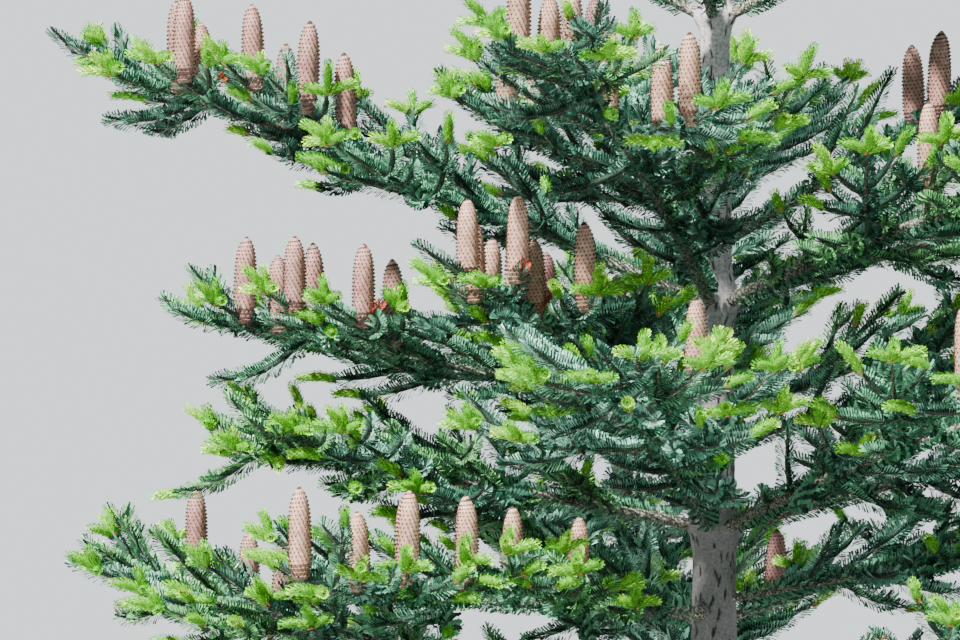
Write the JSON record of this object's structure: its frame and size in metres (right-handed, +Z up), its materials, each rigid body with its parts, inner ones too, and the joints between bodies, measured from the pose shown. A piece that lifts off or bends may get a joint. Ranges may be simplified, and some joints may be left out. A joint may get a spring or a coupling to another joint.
{
  "type": "greek fir tree",
  "caption": "Young rooted fir with a straight tapering trunk, tiered rising boughs, flat needled sprays and upright cones.",
  "frame": {"origin": "middle of the trunk's flat cut at ground level", "axes": "+Z up along the trunk, -Y towards the viewer of the picture, +X to the viewer's right"},
  "size_m": [2.2149, 2.1595, 4],
  "materials": {
    "bark": "rough pale grey bark with dark slits",
    "bough_bark": "matt pale brown twig bark",
    "needles": "waxy dark green needles"
  },
  "bodies": {
    "root": {"trunk": "bark", "crown_tip": "needles", "whorl_1_foliage_1": "needles", "whorl_1_foliage_2": "needles", "whorl_1_foliage_3": "needles", "whorl_2_foliage_1": "needles", "whorl_2_foliage_2": "needles", "whorl_2_foliage_3": "needles", "whorl_3_foliage_1": "needles", "whorl_3_foliage_2": "needles", "whorl_3_foliage_3": "needles", "whorl_3_foliage_4": "needles", "whorl_4_bough_1": "bough_bark", "whorl_4_foliage_1": "needles", "whorl_4_bough_2": "bough_bark", "whorl_4_foliage_2": "needles", "whorl_4_bough_3": "bough_bark", "whorl_4_foliage_3": "needles", "whorl_4_bough_4": "bough_bark", "whorl_4_foliage_4": "needles", "whorl_4_bough_5": "bough_bark", "whorl_4_foliage_5": "needles", "whorl_5_bough_1": "bough_bark", "whorl_5_foliage_1": "needles", "whorl_5_bough_2": "bough_bark", "whorl_5_foliage_2": "needles", "whorl_5_bough_3": "bough_bark", "whorl_5_foliage_3": "needles", "whorl_5_bough_4": "bough_bark", "whorl_5_foliage_4": "needles", "whorl_5_bough_5": "bough_bark", "whorl_5_foliage_5": "needles", "whorl_6_bough_1": "bough_bark", "whorl_6_foliage_1": "needles", "whorl_6_bough_2": "bough_bark", "whorl_6_foliage_2": "needles", "whorl_6_bough_3": "bough_bark", "whorl_6_foliage_3": "needles", "whorl_6_bough_4": "bough_bark", "whorl_6_foliage_4": "needles", "whorl_6_bough_5": "bough_bark", "whorl_6_foliage_5": "needles", "whorl_7_foliage_1": "needles", "whorl_7_foliage_2": "needles", "whorl_7_foliage_3": "needles", "whorl_7_foliage_4": "needles", "whorl_8_foliage_1": "needles", "whorl_8_foliage_2": "needles", "whorl_8_foliage_3": "needles", "whorl_8_foliage_4": "needles", "between_front_foliage": "needles", "between_left_foliage": "needles", "between_right_foliage": "needles", "between_back_foliage": "needles", "high_right_foliage": "needles", "front_right_foliage": "needles", "back_right_foliage": "needles", "low_front_foliage": "needles", "low_right_foliage": "needles", "low_back_foliage": "needles"}
  },
  "joints": []
}
